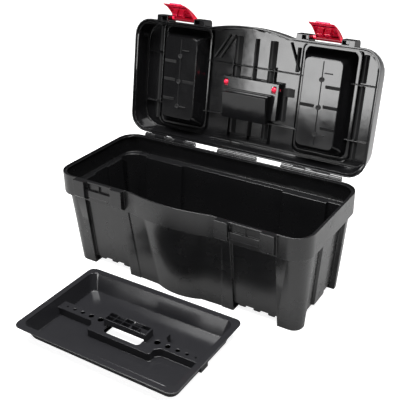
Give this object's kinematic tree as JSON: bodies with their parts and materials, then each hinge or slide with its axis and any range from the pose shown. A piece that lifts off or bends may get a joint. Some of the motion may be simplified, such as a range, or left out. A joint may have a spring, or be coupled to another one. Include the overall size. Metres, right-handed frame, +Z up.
{
  "type": "toolbox with tray",
  "caption": "Open moulded-plastic toolbox: hinged lid with organiser wells, clear covers, over-centre latches and a folding handle, and a lift-out tray in front.",
  "frame": {"origin": "centre of the box's underside, where it stands on the ground", "axes": "+X to the right along the box, +Y from the front to the hinge at the rear, +Z up"},
  "size_m": [0.529, 0.5737, 0.4812],
  "materials": {
    "black_polypropylene": "satin moulded polypropylene, faintly grained",
    "glossy_black_polypropylene": "polished moulded polypropylene",
    "red_polypropylene": "glossy moulded polypropylene",
    "clear_polystyrene": "clear moulded polystyrene",
    "bright_steel": "drawn steel wire"
  },
  "bodies": {
    "box": {"base_shell": "black_polypropylene", "hinge_pin_left": "bright_steel", "hinge_pin_right": "bright_steel"},
    "lid": {"lid_shell": "glossy_black_polypropylene", "latch_pin_left": "bright_steel", "latch_pin_right": "bright_steel", "divider_left_outer_1": "glossy_black_polypropylene", "divider_left_outer_2": "glossy_black_polypropylene", "divider_left_outer_3": "glossy_black_polypropylene", "divider_right_outer_1": "glossy_black_polypropylene", "divider_right_outer_2": "glossy_black_polypropylene", "divider_right_outer_3": "glossy_black_polypropylene", "divider_left_inner": "glossy_black_polypropylene", "divider_right_inner": "glossy_black_polypropylene"},
    "latch_left": {"latch_left": "red_polypropylene"},
    "latch_right": {"latch_right": "red_polypropylene"},
    "handle": {"carry_handle": "red_polypropylene"},
    "cover_left": {"organiser_cover_left": "clear_polystyrene"},
    "cover_right": {"organiser_cover_right": "clear_polystyrene"},
    "tray": {"lift_out_tray": "glossy_black_polypropylene"}
  },
  "joints": [
    {"name": "lid_hinge", "type": "hinge", "parent": "box", "child": "lid", "pos_m": [0, 0.1236, 0.2023], "axis": [1, 0, 0], "range_deg": [0, 100]},
    {"name": "latch_left_pivot", "type": "hinge", "parent": "lid", "child": "latch_left", "pos_m": [-0.155, 0.18415, 0.44203], "axis": [1, 0, 0], "range_deg": [-75, 25]},
    {"name": "latch_right_pivot", "type": "hinge", "parent": "lid", "child": "latch_right", "pos_m": [0.155, 0.18415, 0.44203], "axis": [1, 0, 0], "range_deg": [-75, 25]},
    {"name": "handle_pivot", "type": "hinge", "parent": "lid", "child": "handle", "pos_m": [0, 0.18189, 0.33073], "axis": [1, 0, 0], "range_deg": [0, 90]},
    {"name": "cover_left_hinge", "type": "hinge", "parent": "lid", "child": "cover_left", "pos_m": [-0.0973, 0.19343, 0.32133], "axis": [0, -0.1736, -0.9848], "range_deg": [0, 100]},
    {"name": "cover_right_hinge", "type": "hinge", "parent": "lid", "child": "cover_right", "pos_m": [0.0973, 0.19343, 0.32133], "axis": [0, 0.1736, 0.9848], "range_deg": [0, 100]},
    {"name": "tray_lift", "type": "slide", "parent": "box", "child": "tray", "axis": [0, 0, 1], "range_m": [0, 0.3]}
  ]
}
